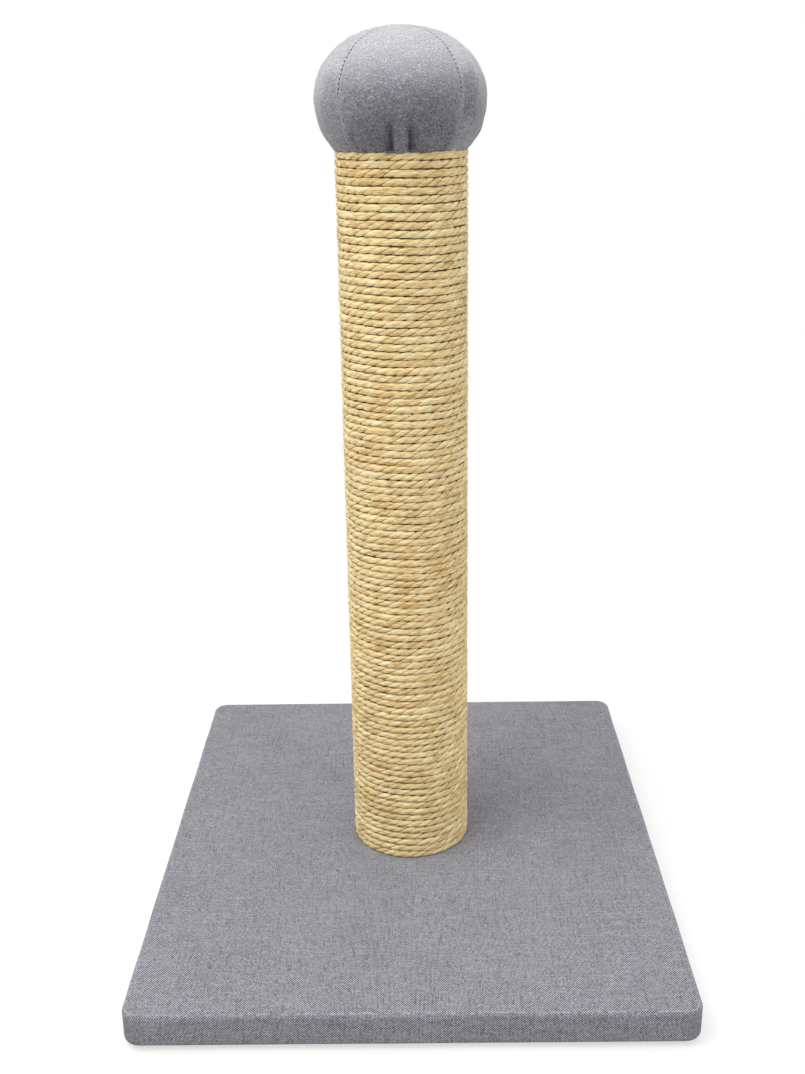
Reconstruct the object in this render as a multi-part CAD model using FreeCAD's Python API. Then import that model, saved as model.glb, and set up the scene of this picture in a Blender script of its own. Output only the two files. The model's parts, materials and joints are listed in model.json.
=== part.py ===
"""Cat scratching post: a fabric-covered board, an upright tube wound with sisal rope, and a stuffed plush cap.

Frame: +Z up, origin on the floor under the middle of the base, front of the base towards -Y. Millimetres.
"""
import FreeCAD, Part
import math
import os
from FreeCAD import Vector

# Driving dimensions. The base, from the floor up:
base_width = 400.0  # over the fabric, left to right
base_depth = 468.0  # over the fabric, front to back
base_corner_radius = 12.0  # in plan, over the fabric
foot_thickness = 2.0
foot_diameter = 30.0
foot_inset = 36.0  # foot centre to the base's sides
lining_thickness = 0.5
lining_inset = 8.0  # lining edge to the base's sides
lining_staple_inset = 12.0
lining_hole_diameter = 34.0
cover_thickness = 0.9
cover_hem_width = 32.0  # fabric turned in under the board
cover_staple_inset = 20.0
board_thickness = 22.0
foam_thickness = 2.7
top_edge_radius = 3.4  # over the fabric
bottom_edge_radius = 5.0  # over the fabric

# The post:
tube_outer_diameter = 84.7
tube_wall = 4.0
tube_length = 553.0
plug_thickness = 18.0
plug_clearance = 0.15  # radial, plug to tube

# The sisal rope, wound in one layer:
rope_diameter = 5.15
rope_sides = 6
turn_gap = 0.43  # least gap between turns, which share the tube's length evenly
rope_end_gap = 0.25  # first turn to the base, last turn to the cap
shown_turns = 12  # turns modelled as rope at each end of the post

# M8 screws and their pronged nuts:
thread_diameter = 8.0
thread_clearance = 0.05  # radial, screw to nut
shank_clearance = 0.4  # radial, screw to drilled hole
nut_flange_diameter = 22.0
nut_flange_thickness = 1.5
nut_barrel_diameter = 10.0
nut_barrel_length = 7.0
nut_prong_length = 5.0
nut_prong_width = 3.4
nut_prong_thickness = 1.2
nut_prong_circle = 18.4  # diameter
bolt_length = 40.0
bolt_head_diameter = 14.0
bolt_head_height = 4.4
bolt_rim_height = 1.6
bolt_socket_flats = 5.0
bolt_socket_depth = 2.6
washer_diameter = 24.0
washer_thickness = 2.0
washer_clearance = 0.2  # radial, hole to thread
recess_diameter = 28.0
recess_depth = 8.0
stud_length = 34.0

# Staples of flat wire:
staple_crown = 10.0
staple_width = 0.95
staple_thickness = 0.65
staple_sink = 0.05  # crown below a round surface
fabric_staple_leg = 6.5
fabric_staple_spacing = 95.0
plug_staple_leg = 12.0
plug_staple_count = 4  # in each plug
rope_staple_leg = 14.0
rope_staple_turn = 0.03  # how far along the first and last turn

# The stuffed plush cap, two half ellipses in outline:
cap_diameter = 119.6
cap_rise_to_widest = 34.2  # underside to the widest level
cap_upper_semi_axis = 49.63
cap_lower_semi_axis = 58.6
cap_crown_radius = 12.0  # flat spot where the four seams meet
plush_thickness = 2.0
seam_sink = 0.9  # about how far a seam lies inside the gores beside it
gore_count = 4
cap_hem_width = 22.0  # plush turned in under the disc
disc_thickness = 9.0
disc_clearance = 0.3
stuffing_clearance = 0.3
cap_staple_ring = 66.0  # diameter
tuck_height = 27.0
tuck_half_angle = 6.0  # degrees from the tuck's middle to each of its folds
fold_radius = 2.0
fold_depth = 1.3

# Levels and radii worked out from them:
lining_bottom = foot_thickness
cover_bottom = lining_bottom + lining_thickness
board_bottom = cover_bottom + cover_thickness
board_top = board_bottom + board_thickness
foam_top = board_top + foam_thickness
base_top = foam_top + cover_thickness
tube_top = base_top + tube_length
disc_bottom = tube_top + plush_thickness
disc_top = disc_bottom + disc_thickness
cap_widest = tube_top + cap_rise_to_widest
cap_radius = cap_diameter / 2
half_gore = math.pi / gore_count  # a gore's middle to its seam, in radians
gore_axis = seam_sink / (1 - math.cos(half_gore))  # a gore is round about an axis this far from the post's

tube_radius = tube_outer_diameter / 2
tube_bore_radius = tube_radius - tube_wall
plug_radius = tube_bore_radius - plug_clearance
thread_radius = thread_diameter / 2
hole_radius = thread_radius + shank_clearance
rope_radius = rope_diameter / 2
winding_radius = tube_radius + rope_radius  # of the rope's centreline
post_radius = tube_radius + rope_diameter
rope_staple_dip = (staple_crown / 2) ** 2 / (2 * post_radius)  # fall of the round outside at a crown's end
wound_length = tube_length - rope_diameter - 2 * rope_end_gap
turn_count = math.floor(wound_length / (rope_diameter + turn_gap))
turn_pitch = wound_length / turn_count
up = Vector(0, 0, 1)
nodes = {}


def cylinder(radius, bottom, top):
    """An upright cylinder on the post's axis."""
    return Part.makeCylinder(radius, top - bottom, Vector(0, 0, bottom))


def ring(outer_radius, inner_radius, bottom, top):
    return cylinder(outer_radius, bottom, top).cut(cylinder(inner_radius, bottom, top))


def rounded_plate(width, depth, corner_radius, bottom, top):
    """A plate centred on the post's axis, its four upright edges rounded."""
    height = top - bottom
    plate = Part.makeBox(width, depth, height, Vector(-width / 2, -depth / 2, bottom))
    uprights = [e for e in plate.Edges if e.BoundBox.ZLength > height / 2]
    return plate.makeFillet(corner_radius, uprights)


def edges_at(shape, level):
    """The edges that lie flat at a level."""
    boxes = [(e, e.BoundBox) for e in shape.Edges]
    return [e for e, box in boxes if max(abs(box.ZMin - level), abs(box.ZMax - level)) < 1e-4]


def soft_edged_plate(inset, bottom, top):
    """The base's outline drawn in by inset, its rounded edges concentric with the outer ones."""
    width, depth = base_width - 2 * inset, base_depth - 2 * inset
    plate = rounded_plate(width, depth, base_corner_radius - inset, bottom, top)
    plate = plate.makeFillet(top_edge_radius - inset, edges_at(plate, top))
    return plate.makeFillet(bottom_edge_radius - inset, edges_at(plate, bottom))


def moved(shape, x=0.0, y=0.0, z=0.0):
    placed = shape.copy()
    placed.translate(Vector(x, y, z))
    return placed


def turned(shape, degrees, axis=up, centre=Vector(0, 0, 0)):
    placed = shape.copy()
    placed.rotate(centre, axis, degrees)
    return placed


def staple(leg, headroom=0.0):
    """A U of flat wire: crown along X with its outer face at the origin, legs pointing up. Headroom
    thickens the crown outwards, which makes the cutter for a sunk staple's pocket."""
    corner = Vector(-staple_crown / 2, -staple_width / 2, -headroom)
    crown = Part.makeBox(staple_crown, staple_width, staple_thickness + headroom, corner)
    legs = []
    for x in (-staple_crown / 2, staple_crown / 2 - staple_thickness):
        legs.append(Part.makeBox(staple_thickness, staple_width, leg, Vector(x, -staple_width / 2, 0)))
    return crown.fuse(legs).removeSplitter()


def t_nut():
    """A pronged nut, the flange's underside at the origin, barrel and prongs pointing down."""
    nut = cylinder(nut_flange_diameter / 2, 0, nut_flange_thickness)
    nut = nut.fuse(cylinder(nut_barrel_diameter / 2, -nut_barrel_length, 0))
    half = nut_prong_width / 2
    corners = [Vector(0, -half, 0), Vector(0, half, 0), Vector(0, 0, -nut_prong_length)]
    spike = Part.Face(Part.makePolygon(corners + corners[:1]))
    prong = spike.extrude(Vector(nut_prong_thickness, 0, 0))
    prong.translate(Vector((nut_prong_circle - nut_prong_thickness) / 2, 0, 0))
    nut = nut.fuse([turned(prong, 90 * k) for k in range(4)])
    return nut.removeSplitter()


def threaded(nut):
    """The same nut with its threaded hole."""
    box = nut.BoundBox
    return nut.cut(cylinder(thread_radius, box.ZMin - 1, box.ZMax + 1))


def perimeter_staples(inset, bottom, shifted):
    """Staples round the underside, in line with the edges; shifted ones stand half a step along."""
    found = []
    for along, across, turn in ((base_width, base_depth, 0), (base_depth, base_width, 90)):
        run = along - 2 * inset
        gaps = round(run / fabric_staple_spacing)
        count = gaps if shifted else gaps - 1
        for k in range(count):
            x = run / gaps * (k - (count - 1) / 2)
            for side in (-1, 1):
                one = moved(staple(fabric_staple_leg), x, side * (across / 2 - inset), bottom)
                found.append(turned(one, turn))
    return found


def make_base():
    """Board, foam over it, the fabric that wraps both, the lining below and what holds them."""
    bolt_hole = cylinder(hole_radius, 0, tube_top)
    recess = cylinder(recess_diameter / 2, 0, board_bottom + recess_depth)
    cover_staples = perimeter_staples(cover_staple_inset, cover_bottom, shifted=True)
    lining_staples = perimeter_staples(lining_staple_inset, lining_bottom, shifted=False)

    inside = soft_edged_plate(cover_thickness, board_bottom, foam_top)
    corner = Vector(-base_width / 2, -base_depth / 2, board_bottom)
    board_layer = Part.makeBox(base_width, base_depth, board_thickness, corner)
    board = inside.common(board_layer).cut([bolt_hole, recess])
    nodes["base_board"] = board.cut(cover_staples + lining_staples)
    nodes["base_foam"] = inside.cut([board_layer, bolt_hole])

    open_width, open_depth = base_width - 2 * cover_hem_width, base_depth - 2 * cover_hem_width
    opening = rounded_plate(open_width, open_depth, base_corner_radius, 0, board_bottom)
    cover = soft_edged_plate(0, cover_bottom, base_top).cut([inside, opening, bolt_hole])
    nodes["base_cover"] = cover.cut(cover_staples + lining_staples)

    lining_width, lining_depth = base_width - 2 * lining_inset, base_depth - 2 * lining_inset
    lining = rounded_plate(lining_width, lining_depth, base_corner_radius, lining_bottom, cover_bottom)
    lining_hole = cylinder(lining_hole_diameter / 2, 0, cover_bottom)
    nodes["base_lining"] = lining.cut(lining_staples + [lining_hole])
    nodes["cover_staples"] = Part.makeCompound(cover_staples)
    nodes["lining_staples"] = Part.makeCompound(lining_staples)

    foot = Part.makeCylinder(foot_diameter / 2, foot_thickness)
    foot_x, foot_y = base_width / 2 - foot_inset, base_depth / 2 - foot_inset
    for row, y in (("front", -foot_y), ("rear", foot_y)):
        for side, x in (("left", -foot_x), ("right", foot_x)):
            nodes[f"foot_{row}_{side}"] = moved(foot, x, y)


def make_base_bolt():
    """Button-head screw with a hexagon socket, and its washer, in the recess under the board."""
    seat = board_bottom + recess_depth - washer_thickness
    shank_radius = thread_radius - thread_clearance
    head_radius = bolt_head_diameter / 2
    crown = seat - bolt_head_height
    rim = Part.makeCylinder(head_radius, bolt_rim_height, Vector(0, 0, seat - bolt_rim_height))
    dome_height = bolt_head_height - bolt_rim_height
    dome = Part.makeCone(head_radius - dome_height, head_radius, dome_height, Vector(0, 0, crown))
    shank = cylinder(shank_radius, seat, seat + bolt_length)
    across_corners = bolt_socket_flats / math.sqrt(3)
    hexagon = []
    for k in range(7):
        angle = math.radians(60 * k)
        hexagon.append(Vector(across_corners * math.cos(angle), across_corners * math.sin(angle), crown))
    socket = Part.Face(Part.makePolygon(hexagon)).extrude(Vector(0, 0, bolt_socket_depth))
    nodes["base_bolt"] = rim.fuse([dome, shank]).removeSplitter().cut(socket)
    hole = thread_radius + washer_clearance
    nodes["base_washer"] = ring(washer_diameter / 2, hole, seat, seat + washer_thickness)


def wall_staples(leg, outside_radius, level, upright, headroom):
    """A staple driven towards the post's axis from the +X side."""
    one = staple(leg, headroom)
    if not upright:
        one = turned(one, 90)
    one = turned(one, -90, Vector(0, 1, 0))
    return moved(one, x=outside_radius, z=level)


def plug_staples(headroom=0.0):
    """Staples through the tube's wall into each plug, crowns upright and just below the wall's outside."""
    found = []
    for level in (base_top + plug_thickness / 2, tube_top - plug_thickness / 2):
        one = wall_staples(plug_staple_leg, tube_radius - staple_sink, level, True, headroom)
        for k in range(plug_staple_count):
            found.append(turned(one, 360 / plug_staple_count * (k + 0.5)))
    return found


def rope_staples(headroom=0.0):
    """One staple through each end of the rope, its crown along the rope, at the back of the post."""
    level = winding_point(rope_staple_turn).z
    one = wall_staples(rope_staple_leg, post_radius - rope_staple_dip - staple_sink, level, False, headroom)
    lower = turned(one, 90 - 360 * rope_staple_turn)
    return [lower, end_for_end(lower)]


def make_post():
    """The paper tube, a wooden plug with a nut in each end of it, and the staples through its wall."""
    pockets = plug_staples(headroom=1.0) + rope_staples()
    tube = ring(tube_radius, tube_bore_radius, base_top, tube_top)
    nodes["post_tube"] = tube.cut(pockets)
    nodes["plug_staples"] = Part.makeCompound(plug_staples())
    nodes["rope_staples"] = Part.makeCompound(rope_staples())

    upper_bottom = tube_top - plug_thickness
    lower_nut = moved(t_nut(), z=base_top + plug_thickness)
    upper_nut = moved(turned(t_nut(), 180, Vector(1, 0, 0)), z=upper_bottom)
    for name, bottom, nut in (("lower", base_top, lower_nut), ("upper", upper_bottom, upper_nut)):
        plug = cylinder(plug_radius, bottom, bottom + plug_thickness)
        plug = plug.cut(cylinder(hole_radius, bottom, bottom + plug_thickness))
        nodes[f"{name}_plug"] = plug.cut([nut] + pockets)
        nodes[f"{name}_t_nut"] = threaded(nut)


def winding_point(turns):
    """The rope's centreline: it starts at the back and climbs clockwise as seen from above."""
    angle = math.pi / 2 - 2 * math.pi * turns
    level = base_top + rope_end_gap + rope_radius + turn_pitch * turns
    return Vector(winding_radius * math.cos(angle), winding_radius * math.sin(angle), level)


def winding_direction(turns):
    angle = math.pi / 2 - 2 * math.pi * turns
    across, along = winding_radius * math.sin(angle), -winding_radius * math.cos(angle)
    return Vector(across, along, turn_pitch / (2 * math.pi)).normalize()


def arc_between(start, direction, finish, tangent_length):
    """The arc that leaves start along direction and ends at finish, its two tangents equally long."""
    meet = start + direction * tangent_length
    middle = (start + finish) * 0.5
    half_chord = (finish - start).Length / 2
    half_angle = math.atan2((meet - middle).Length, half_chord)
    bulge = (meet - middle).normalize() * (half_chord * math.tan(half_angle / 2))
    return Part.Arc(start, middle + bulge, finish).toShape()


def biarc(from_turn, to_turn):
    """Two arcs that are tangent to each other, and to the winding at both ends."""
    p, q = winding_point(from_turn), winding_point(to_turn)
    a, b = winding_direction(from_turn), winding_direction(to_turn)
    chord, both = q - p, a + b
    spread = 2 * (1 - a.dot(b))
    along = chord.dot(both)
    tangent_length = (math.sqrt(along**2 + spread * chord.dot(chord)) - along) / spread
    joint = (p + q + (a - b) * tangent_length) * 0.5
    turned_to = (joint - p - a * tangent_length).normalize()
    return [arc_between(p, a, joint, tangent_length), arc_between(joint, turned_to, q, tangent_length)]


def winding_path(from_turn, to_turn, straight_start=False, straight_end=False):
    """Half-turn biarcs; a straight end is one rope's diameter long."""
    edges = []
    for k in range(round((to_turn - from_turn) * 2)):
        edges += biarc(from_turn + k / 2, from_turn + (k + 1) / 2)
    start, finish = winding_point(from_turn), winding_point(to_turn)
    if straight_start:
        before = start - winding_direction(from_turn) * rope_diameter
        edges.insert(0, Part.LineSegment(before, start).toShape())
    if straight_end:
        after = finish + winding_direction(to_turn) * rope_diameter
        edges.append(Part.LineSegment(finish, after).toShape())
    return Part.Wire(edges)


def swept(path, corners, turns):
    """A flat-sided tube along a path that starts square to the winding's direction at turns. Corners are
    (outward, upward) from the path."""
    start = path.Edges[0].valueAt(path.Edges[0].FirstParameter)
    point = winding_point(turns)
    outward = Vector(point.x, point.y, 0).normalize()
    upward = winding_direction(turns).cross(outward)
    points = [start + outward * u + upward * v for u, v in corners]
    return path.makePipeShell([Part.makePolygon(points + points[:1])], True, False)


def end_for_end(shape):
    """A lower end's shape carried to the upper end, which keeps the winding's hand."""
    return turned(shape, 180, Vector(0, 1, 0), Vector(0, 0, base_top + tube_length / 2))


def make_rope():
    """Rope for the first and last turns; a sleeve of the same outside stands for the turns between."""
    section = []
    for k in range(rope_sides):
        angle = 2 * math.pi * k / rope_sides
        section.append((rope_radius * math.sin(angle), rope_radius * math.cos(angle)))
    area = rope_sides / 2 * rope_radius**2 * math.sin(2 * math.pi / rope_sides)
    path = winding_path(0, shown_turns, straight_start=True, straight_end=True)
    lower = swept(path, section, 0)

    # above the last turn that shows, the sleeve's edge climbs beside it as the next turn would
    last = shown_turns - 1
    deep, room = rope_diameter, turn_pitch - rope_radius
    reach = [(-deep, -deep), (deep, -deep), (deep, room), (-deep, room)]
    first_half = swept(winding_path(last, last + 0.5), reach, last)
    second_half = swept(winding_path(last + 0.5, last + 1, straight_end=True), reach, last + 0.5)
    ramp = [first_half, second_half]
    bottom = winding_point(last).z + room
    top = base_top + tube_top - bottom
    sleeve = ring(post_radius, tube_radius, bottom, top)
    sleeve = sleeve.cut(ramp).cut([end_for_end(r) for r in ramp])
    rope = sleeve.fuse([lower, end_for_end(lower)])
    nodes["sisal_rope"] = rope.cut(rope_staples(headroom=1.0))

    # measured between points of the centreline about one turn apart
    steps = 60
    least = turn_pitch
    for k in range(steps):
        for ahead in range(steps // 2, 3 * steps // 2):
            apart = winding_point((k + ahead) / steps) - winding_point(k / steps)
            least = min(least, apart.Length)
    print(f"rope: {turn_count} turns at {turn_pitch:.3f}, of which {2 * shown_turns} shown as rope")
    print(f"rope: least gap to itself {least - rope_diameter:.3f}")
    print(f"rope: swept volume {lower.Volume:.1f}, section times length {area * path.Length:.1f}")


def cap_outline(angle, depth):
    """Radius and level of the cap's outline, depth inside its surface; angle 0 is the widest level."""
    tall = cap_upper_semi_axis if angle > 0 else cap_lower_semi_axis
    return (cap_radius - depth) * math.cos(angle), cap_widest + (tall - depth) * math.sin(angle)


def cap_radius_at(level, depth):
    """The outline's radius at a level below the widest one."""
    share = (cap_widest - level) / (cap_lower_semi_axis - depth)
    return (cap_radius - depth) * math.sqrt(1 - share**2)


def seam_radius(radius):
    """Distance from the post's axis to the seam, at a level where the gore's middle has this radius."""
    across = gore_axis * math.sin(half_gore)
    return gore_axis * math.cos(half_gore) + math.sqrt((radius - gore_axis) ** 2 - across**2)


def band_angles(lower_bands, upper_bands):
    """Angles of the cap's outline, from the underside to the crown, where its flat-sided bands meet."""
    low = math.asin(cap_rise_to_widest / cap_lower_semi_axis)
    high = math.acos(cap_crown_radius / cap_radius)
    angles = [-low * (1 - k / lower_bands) for k in range(lower_bands)]
    return angles + [high * k / upper_bands for k in range(upper_bands + 1)]


def cap_form(depth, angles, axis_x=0.0):
    """The cap's form, depth inside its surface, in bands turned about an upright axis at axis_x. Its
    outline is drawn on the far side of that axis, which keeps the bands' joints out of the gore."""
    outline = [cap_outline(a, depth) for a in angles]
    corners = [Vector(2 * axis_x - r, 0, z) for r, z in outline]
    corners += [Vector(axis_x, 0, outline[-1][1]), Vector(axis_x, 0, outline[0][1]), corners[0]]
    return Part.Face(Part.makePolygon(corners)).revolve(Vector(axis_x, 0, 0), up, 360)


def fold_groove(side):
    """The fold on one side of a gore's tuck: a round groove that runs up the gore and fades out."""

    def above_surface(rise, lift):
        level = tube_top + rise
        return Vector(cap_radius_at(level, 0) + lift, 0, level)

    deep = fold_radius - fold_depth
    low = above_surface(-fold_radius, deep)
    middle = above_surface(tuck_height / 2, (deep + fold_radius) / 2)
    high = above_surface(tuck_height, fold_radius)
    arc = Part.Arc(low, middle, high).toShape()
    disc = Part.Face(Part.Wire(Part.makeCircle(fold_radius, low, arc.tangentAt(arc.FirstParameter))))
    sweep = math.degrees(arc.LastParameter - arc.FirstParameter)
    groove = disc.revolve(arc.Curve.Center, arc.Curve.Axis, sweep)
    return turned(groove, side * tuck_half_angle)


def make_cap():
    """Four plush gores sewn into a ball over the stuffing and stapled under a wooden disc."""
    staples = []
    for k in range(2 * gore_count):
        one = moved(turned(staple(fabric_staple_leg), 90), x=cap_staple_ring / 2, z=tube_top)
        staples.append(turned(one, 180 / gore_count * (k + 0.5)))

    inner_angles = band_angles(2, 5)
    inside = cap_form(plush_thickness, inner_angles, gore_axis).cut(cylinder(cap_diameter, 0, disc_bottom))
    hem_opening = cylinder(post_radius - cap_hem_width, 0, disc_bottom)
    gore = cap_form(0, band_angles(3, 7), gore_axis).cut([inside, hem_opening])
    reach = cap_diameter
    points = [Vector(0, 0, tube_top - reach / 2)]
    for turn in (-half_gore, half_gore):
        points.append(points[0] + Vector(reach * math.cos(turn), reach * math.sin(turn), 0))
    wedge = Part.Face(Part.makePolygon(points + points[:1])).extrude(Vector(0, 0, 2 * reach))
    gore = gore.common(wedge).cut([fold_groove(-1), fold_groove(1)] + staples)
    for k, name in enumerate(("right", "rear", "left", "front")):
        nodes[f"cap_gore_{name}"] = turned(gore, 360 / gore_count * k)

    disc_radius = seam_radius(cap_radius_at(disc_bottom, plush_thickness)) - disc_clearance
    nut = moved(t_nut(), z=disc_top)
    disc = cylinder(disc_radius, disc_bottom, disc_top).cut(cylinder(hole_radius, 0, disc_top))
    nodes["cap_disc"] = disc.cut([nut] + staples)
    nodes["cap_t_nut"] = threaded(nut)
    nodes["cap_staples"] = Part.makeCompound(staples)
    stud_top = disc_top + nut_flange_thickness
    nodes["cap_stud"] = cylinder(thread_radius - thread_clearance, stud_top - stud_length, stud_top)

    stuffing = cap_form(plush_thickness + seam_sink + stuffing_clearance, inner_angles)
    below = cylinder(cap_diameter, 0, disc_top)
    nodes["cap_stuffing"] = stuffing.cut([below, cylinder(nut_flange_diameter / 2, disc_top, stud_top)])


def main():
    make_base()
    make_base_bolt()
    make_post()
    make_rope()
    make_cap()
    os.makedirs("parts", exist_ok=True)
    for name, shape in sorted(nodes.items()):
        shape.exportStep(f"parts/{name}.step")
        size = f"solids {len(shape.Solids):2d} volume {shape.Volume:11.1f}"
        print(f"{name:18s} {size} valid {shape.isValid()}")


main()
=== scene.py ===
import json
import math
import bpy
import numpy as np
from mathutils import Matrix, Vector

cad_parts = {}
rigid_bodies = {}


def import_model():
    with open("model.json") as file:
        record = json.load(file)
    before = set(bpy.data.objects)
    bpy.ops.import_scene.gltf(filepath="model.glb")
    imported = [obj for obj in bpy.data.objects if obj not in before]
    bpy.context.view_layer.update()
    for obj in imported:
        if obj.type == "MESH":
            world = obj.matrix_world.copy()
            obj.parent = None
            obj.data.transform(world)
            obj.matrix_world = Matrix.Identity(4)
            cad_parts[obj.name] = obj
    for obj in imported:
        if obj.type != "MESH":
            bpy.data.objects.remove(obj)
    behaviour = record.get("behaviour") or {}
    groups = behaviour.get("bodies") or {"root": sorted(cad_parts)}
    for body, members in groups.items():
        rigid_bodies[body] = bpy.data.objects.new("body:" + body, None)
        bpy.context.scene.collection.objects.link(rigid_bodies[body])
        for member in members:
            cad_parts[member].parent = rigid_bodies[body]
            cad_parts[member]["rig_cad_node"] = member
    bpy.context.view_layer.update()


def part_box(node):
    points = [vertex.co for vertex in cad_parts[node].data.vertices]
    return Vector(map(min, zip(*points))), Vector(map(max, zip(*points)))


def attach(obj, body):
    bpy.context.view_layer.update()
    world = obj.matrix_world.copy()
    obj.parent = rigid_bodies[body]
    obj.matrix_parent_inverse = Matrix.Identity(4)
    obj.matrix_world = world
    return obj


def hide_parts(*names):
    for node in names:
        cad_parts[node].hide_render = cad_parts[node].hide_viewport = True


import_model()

mm = 0.001  # lengths below are in millimetres until a mesh is made
baseTop, postTop = [1000 * corner.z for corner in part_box("post_tube")]
nodeObjects = {o["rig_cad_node"]: o for o in bpy.context.scene.objects if "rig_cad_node" in o}
print("frame loaded:", len(nodeObjects), "nodes")


# meshes from grids

def gridFaces(rows, columns, wrapRows=False, wrapColumns=False):
    # corners of each quad; its normal is the column direction crossed with the row direction
    row = np.arange(rows if wrapRows else rows - 1)[:, None]
    column = np.arange(columns if wrapColumns else columns - 1)[None, :]
    nextRow, nextColumn = (row + 1) % rows, (column + 1) % columns
    corners = [row * columns + column, row * columns + nextColumn,
               nextRow * columns + nextColumn, nextRow * columns + column]
    return np.stack(np.broadcast_arrays(*corners), -1).reshape(-1, 4)


def tubeFaces(rows, columns):
    # the quads of a closed tube, and one face over each end
    last = (rows - 1) * columns
    ends = np.stack([np.arange(columns)[::-1], last + np.arange(columns)])
    return gridFaces(rows, columns, wrapColumns=True), ends


def around(angle, radius, height):
    # points at an angle round the upright axis
    angle, radius, height = np.broadcast_arrays(angle, radius, height)
    return np.stack([radius * np.cos(angle), radius * np.sin(angle), height], -1)


def raised(flat, level):
    # places seen from above, given their heights, or one height for each ring
    if level.ndim == 1:
        level = np.repeat(level[:, None], flat.shape[1], 1)
    return np.concatenate([flat, level[..., None]], -1)


def makeMesh(name, points, *faceSets):
    # each face set holds faces with the same number of corners
    corners = np.concatenate([faces.ravel() for faces in faceSets]).astype(np.int32)
    sizes = np.concatenate([np.full(len(faces), faces.shape[1]) for faces in faceSets])
    starts = np.concatenate([[0], np.cumsum(sizes)[:-1]]).astype(np.int32)
    points = np.asarray(points).reshape(-1, 3) * mm
    mesh = bpy.data.meshes.new(name)
    mesh.vertices.add(len(points))
    mesh.vertices.foreach_set("co", points.astype(np.float32).ravel())
    mesh.loops.add(len(corners))
    mesh.loops.foreach_set("vertex_index", corners)
    mesh.polygons.add(len(sizes))
    mesh.polygons.foreach_set("loop_start", starts)
    mesh.polygons.foreach_set("use_smooth", np.ones(len(sizes), dtype=bool))
    mesh.update(calc_edges=True)
    piece = bpy.data.objects.new(name, mesh)
    bpy.context.collection.objects.link(piece)
    return piece


def putValue(piece, name, values):
    # one number for each point, which a finish reads by its name
    layer = piece.data.attributes.new(name, "FLOAT", "POINT")
    layer.data.foreach_set("value", np.ravel(values).astype(np.float32))


def putVector(piece, name, vectors):
    # three numbers for each point
    layer = piece.data.attributes.new(name, "FLOAT_VECTOR", "POINT")
    layer.data.foreach_set("vector", np.ravel(vectors).astype(np.float32))


def putUv(piece, name, flat):
    # where each point lies on the flat cloth, in metres
    corners = np.empty(len(piece.data.loops), dtype=np.int32)
    piece.data.loops.foreach_get("vertex_index", corners)
    layer = piece.data.uv_layers.new(name=name)
    layer.data.foreach_set("uv", (flat.reshape(-1, 2)[corners] * mm).astype(np.float32).ravel())


def thicken(piece, thickness):
    # cloth made as its outer face: the wall goes inwards from it
    wall = piece.modifiers.new("thickness", "SOLIDIFY")
    wall.thickness, wall.offset = thickness * mm, -1


def dress(piece, finish, nodes=()):
    # finish, body and slot of a piece, and the CAD nodes that it stands for
    piece.data.materials.append(finish.material)
    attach(piece, "root")
    if nodes:
        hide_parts(*nodes)


# smooth random values

def cosineEase(share):
    # half a cosine wave, from 0 to 1
    return 0.5 - 0.5 * np.cos(math.pi * share)


def wander(chance, places, step):
    # one value every step, from -1 to 1, joined by a cosine ease
    knots = chance.uniform(-1, 1, int(np.ptp(places) / step) + 3)
    at = (places - places.min()) / step
    low = at.astype(int)
    blend = cosineEase(at - low)
    return knots[low] * (1 - blend) + knots[low + 1] * blend


def ripple(chance, points, wavelength, waves=14):
    # sine waves in random directions, added and scaled to a spread of about 1
    total = 0
    for _ in range(waves):
        direction = chance.normal(size=points.shape[-1])
        direction *= 2 * math.pi / (np.linalg.norm(direction) * wavelength * chance.uniform(0.7, 1.4))
        total = total + np.sin(points @ direction + chance.uniform(0, 2 * math.pi))
    return total * math.sqrt(2 / waves)


def ease(value, low, high):
    # 0 up to low, 1 from high, and a smooth step between
    share = np.clip((value - low) / (high - low), 0, 1)
    return share * share * (3 - 2 * share)


# shader maths

class Wire:
    # a socket that can be reckoned with: each operator adds one maths node and gives its result
    def __init__(self, finish, socket):
        self.finish, self.socket = finish, socket

    def apply(self, operation, *others, clamp=False):
        values = dict(enumerate((self, *others)))
        return self.finish.add("Math", {"operation": operation, "use_clamp": clamp}, values)

    def __add__(self, other): return self.apply("ADD", other)
    def __radd__(self, other): return self.apply("ADD", other)
    def __sub__(self, other): return self.apply("SUBTRACT", other)
    def __rsub__(self, other): return self.finish.add("Math", {"operation": "SUBTRACT"}, {0: other, 1: self})
    def __mul__(self, other): return self.apply("MULTIPLY", other)
    def __rmul__(self, other): return self.apply("MULTIPLY", other)
    def __truediv__(self, other): return self.apply("DIVIDE", other)
    def __gt__(self, other): return self.apply("GREATER_THAN", other)

    def floor(self): return self.apply("FLOOR")
    def part(self): return self.apply("FRACT")
    def size(self): return self.apply("ABSOLUTE")
    def cosine(self): return self.apply("COSINE")
    def larger(self, other): return self.apply("MAXIMUM", other)
    def capped(self): return self.apply("ADD", 0.0, clamp=True)

    def between(self, low, high):
        # 0 up to low, 1 from high
        sockets = {"Value": self, "From Min": low, "From Max": high}
        return self.finish.add("MapRange", {"interpolation_type": "SMOOTHSTEP"}, sockets)


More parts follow.
